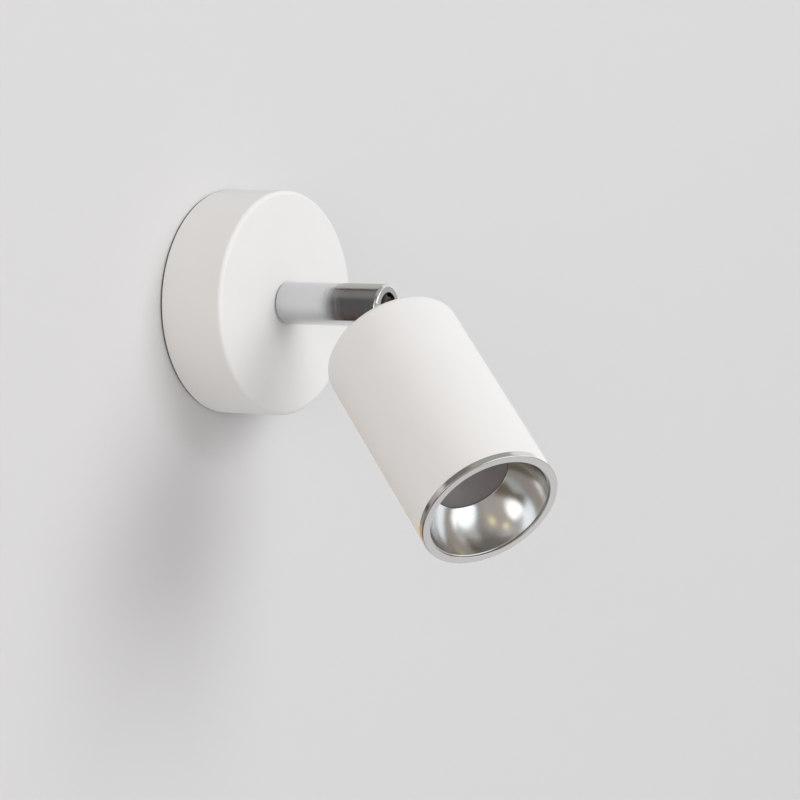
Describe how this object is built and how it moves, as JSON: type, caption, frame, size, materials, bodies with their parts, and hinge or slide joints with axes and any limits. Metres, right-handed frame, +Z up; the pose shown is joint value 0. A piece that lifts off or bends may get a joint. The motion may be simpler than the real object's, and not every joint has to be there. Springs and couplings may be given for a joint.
{
  "type": "pivoting spotlight wall light",
  "caption": "Round wall canopy with a short polished stem that turns, and a cylindrical spotlight head that tilts on a knuckle in the stem's slotted end.",
  "frame": {"origin": "centre of the canopy on the wall plane", "axes": "+Y into the wall, +Z up, the light stands out towards -Y"},
  "size_m": [0.1177, 0.1884, 0.1576],
  "materials": {
    "white_paint": "satin",
    "polished_chrome": "polished",
    "satin_chrome": "satin",
    "polished_aluminium": "polished",
    "black_steel": "satin",
    "zinc_steel": "satin",
    "spring_steel": "satin",
    "brass": "satin",
    "black_nylon": "matte",
    "black_rubber": "matte",
    "white_nylon": "matte",
    "steatite": "satin",
    "lamp_case": "satin",
    "lamp_front": "matte",
    "lead_sleeve": "satin"
  },
  "bodies": {
    "wall_base": {"wall_gasket": "black_rubber", "mounting_strap": "zinc_steel", "cable_grommet": "black_rubber", "earth_screw": "brass", "terminal_block": "white_nylon", "terminal_clamps": "brass", "terminal_screws": "zinc_steel", "block_screw": "zinc_steel", "canopy": "white_paint", "canopy_screws": "zinc_steel", "swivel_bush": "black_nylon", "thrust_washer": "white_nylon", "stop_pin": "zinc_steel", "canopy_leads": "lead_sleeve"},
    "arm": {"stem_tube": "polished_chrome", "stem_plug": "brass", "stop_washer": "zinc_steel", "disc_spring": "spring_steel", "stem_nut": "zinc_steel", "pressure_spring": "spring_steel", "friction_cup": "black_nylon", "pivot_screw": "zinc_steel", "stem_leads": "lead_sleeve"},
    "head": {"knuckle": "black_steel", "neck_collar": "polished_chrome", "head_shell": "white_paint", "neck_washer": "zinc_steel", "neck_nut": "zinc_steel", "holder_bracket": "zinc_steel", "lamp_holder": "steatite", "holder_contacts": "brass", "holder_screws": "zinc_steel", "head_leads": "lead_sleeve"},
    "lamp": {"lamp_body": "lamp_case", "lamp_lens": "lamp_front", "lamp_pins": "brass"},
    "front_ring": {"front_ring": "satin_chrome", "retaining_cord": "black_rubber", "reflector": "polished_aluminium"}
  },
  "joints": [
    {"name": "arm_swivel", "type": "hinge", "parent": "wall_base", "child": "arm", "pos_m": [0, 0, 0], "axis": [0, 1, 0], "range_deg": [-189.4, 140.6], "deforming": ["canopy_leads"]},
    {"name": "head_tilt", "type": "hinge", "parent": "arm", "child": "head", "pos_m": [0, -0.0749, 0], "axis": [0.9107, 0, -0.4131], "range_deg": [-58.2, 44.8], "deforming": ["head_leads"]},
    {"name": "lamp_twist", "type": "hinge", "parent": "head", "child": "lamp", "pos_m": [0, -0.0749, 0], "axis": [-0.2931, -0.7046, -0.6462], "range_deg": [0, 30]},
    {"name": "ring_pull", "type": "slide", "parent": "head", "child": "front_ring", "axis": [-0.2931, -0.7046, -0.6462], "range_m": [0, 0.03]}
  ]
}
